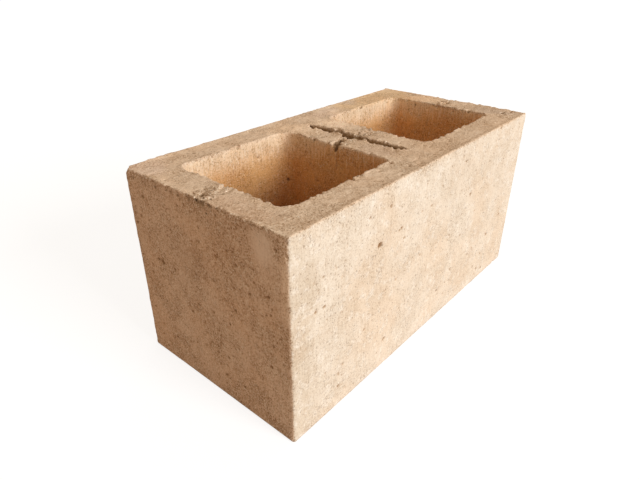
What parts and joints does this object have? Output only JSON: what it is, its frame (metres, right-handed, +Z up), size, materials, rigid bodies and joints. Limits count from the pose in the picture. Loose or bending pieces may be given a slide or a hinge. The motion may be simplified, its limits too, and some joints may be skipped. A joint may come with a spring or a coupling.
{
  "type": "concrete fence block",
  "caption": "Hollow pressed-concrete block for fences and walls, with tapered open cores and a narrow splitting slot through the web between them.",
  "frame": {"origin": "centre of the bottom bed face, level with the floor that the block stands on", "axes": "+X along the block's length, +Y across its width, +Z up, from the bottom bed to the top bed where the cores are widest"},
  "size_m": [0.39, 0.19, 0.188],
  "materials": {
    "concrete": "rough sandy beige pressed concrete, matte, with open pores and fine drag lines from the mould"
  },
  "bodies": {
    "root": {"fence_block": "concrete"}
  },
  "joints": []
}
